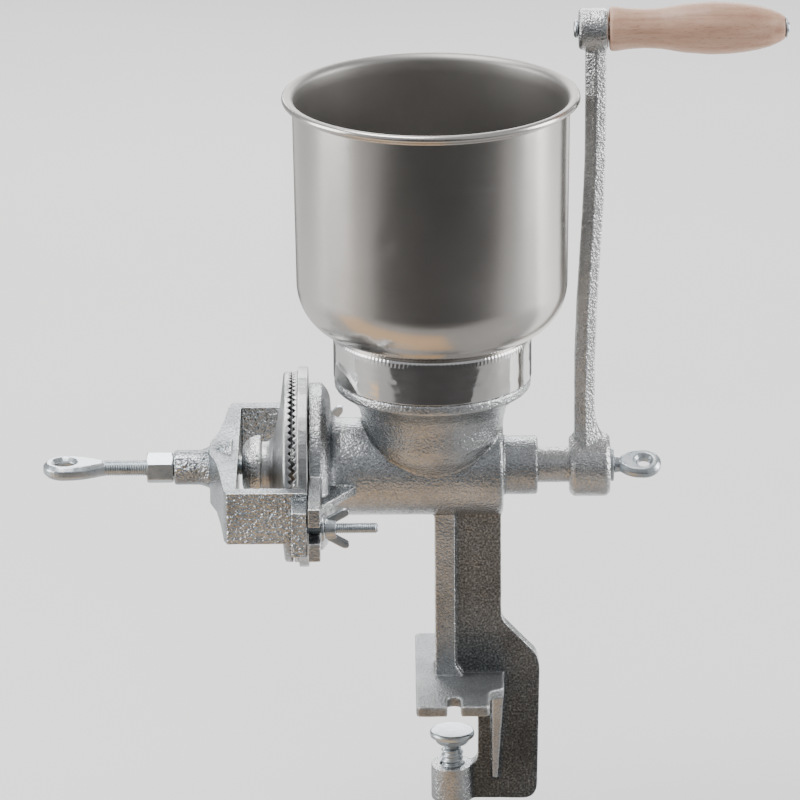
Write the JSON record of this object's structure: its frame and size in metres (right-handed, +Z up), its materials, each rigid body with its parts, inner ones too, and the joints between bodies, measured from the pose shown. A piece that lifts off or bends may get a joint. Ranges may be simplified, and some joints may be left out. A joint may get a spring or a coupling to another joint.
{
  "type": "hand-crank grain mill",
  "caption": "Clamp-on cast mill with a sheet-steel hopper over a feed screw, two toothed grinding discs held in a screw-adjusted yoke, and a long crank with a turned wooden grip.",
  "frame": {"origin": "on the underside of the table pad, straight below the middle of the hopper", "axes": "+Z up, +X along the shaft towards the crank, +Y away from the front"},
  "size_m": [0.3912, 0.182, 0.4897],
  "materials": {
    "tinned_cast_iron": "tinned sand casting, rough grain, half bright",
    "stainless_sheet": "satin spun sheet",
    "polished_steel": "mirror polished",
    "burr_iron": "tinned casting with turned edges",
    "zinc_plated_steel": "bright zinc plate",
    "beech_wood": "turned, lightly sealed"
  },
  "bodies": {
    "mill": {"mill_body": "tinned_cast_iron", "stationary_burr": "burr_iron", "burr_screw_1": "zinc_plated_steel", "burr_screw_2": "zinc_plated_steel", "burr_screw_3": "zinc_plated_steel", "yoke": "tinned_cast_iron", "yoke_stud_rear": "zinc_plated_steel", "yoke_stud_front": "zinc_plated_steel", "washer_rear": "zinc_plated_steel", "washer_front": "zinc_plated_steel"},
    "hopper": {"hopper_bowl": "stainless_sheet", "hopper_collar": "polished_steel"},
    "thrust": {"thrust_ball": "zinc_plated_steel"},
    "crank": {"feed_shaft": "tinned_cast_iron", "drive_pin": "zinc_plated_steel", "rotating_burr": "burr_iron", "thrust_cap": "tinned_cast_iron", "crank_arm": "tinned_cast_iron", "crank_washer": "zinc_plated_steel", "handle_spindle": "zinc_plated_steel", "handle_washer": "zinc_plated_steel"},
    "thumb_screw": {"crank_thumb_screw": "zinc_plated_steel"},
    "grip": {"handle_grip": "beech_wood"},
    "adjuster": {"adjusting_screw": "zinc_plated_steel"},
    "lock_nut": {"lock_nut": "zinc_plated_steel"},
    "wing_nut_rear": {"wing_nut_rear": "zinc_plated_steel"},
    "wing_nut_front": {"wing_nut_front": "zinc_plated_steel"},
    "clamp_pad": {"clamp_pad": "zinc_plated_steel"},
    "clamp_screw": {"clamp_screw": "zinc_plated_steel", "clamp_handle": "tinned_cast_iron"}
  },
  "joints": [
    {"name": "hopper_lift", "type": "slide", "parent": "mill", "child": "hopper", "axis": [0, 0, 1], "range_m": [0, 0.02]},
    {"name": "burr_gap", "type": "slide", "parent": "mill", "child": "thrust", "axis": [-1, 0, 0], "range_m": [0, 0.0012]},
    {"name": "adjuster_turn", "type": "hinge", "parent": "thrust", "child": "adjuster", "pos_m": [-0.12, 0, 0.122], "axis": [-1, 0, 0], "range_deg": [0, 346]},
    {"name": "crank_turn", "type": "hinge", "parent": "thrust", "child": "crank", "pos_m": [0, 0, 0.122], "axis": [1, 0, 0], "continuous": true},
    {"name": "grip_spin", "type": "hinge", "parent": "crank", "child": "grip", "pos_m": [0.14, 0, 0.361], "axis": [1, 0, 0], "continuous": true},
    {"name": "thumb_screw_turn", "type": "hinge", "parent": "crank", "child": "thumb_screw", "pos_m": [0.1, 0, 0.122], "axis": [1, 0, 0], "range_deg": [-360, 360]},
    {"name": "lock_nut_turn", "type": "hinge", "parent": "mill", "child": "lock_nut", "pos_m": [-0.143, 0, 0.122], "axis": [1, 0, 0], "range_deg": [-360, 360]},
    {"name": "wing_nut_rear_turn", "type": "hinge", "parent": "mill", "child": "wing_nut_rear", "pos_m": [-0.053, 0.0794, 0.1172], "axis": [1, 0, 0], "range_deg": [-360, 360]},
    {"name": "wing_nut_front_turn", "type": "hinge", "parent": "mill", "child": "wing_nut_front", "pos_m": [-0.053, -0.0794, 0.1172], "axis": [1, 0, 0], "range_deg": [-360, 360]},
    {"name": "clamp_travel", "type": "slide", "parent": "mill", "child": "clamp_pad", "axis": [0, 0, 1], "range_m": [-0.01, 0.028]},
    {"name": "clamp_turn", "type": "hinge", "parent": "clamp_pad", "child": "clamp_screw", "pos_m": [0.0094, 0, -0.079], "axis": [0, 0, 1], "range_deg": [-1200.1, 3360.1]}
  ],
  "couplings": [
    {"joint": "adjuster_turn", "follows": "burr_gap", "rad_per_m": 5026.6},
    {"joint": "clamp_turn", "follows": "clamp_travel", "rad_per_m": 2094.4}
  ]
}
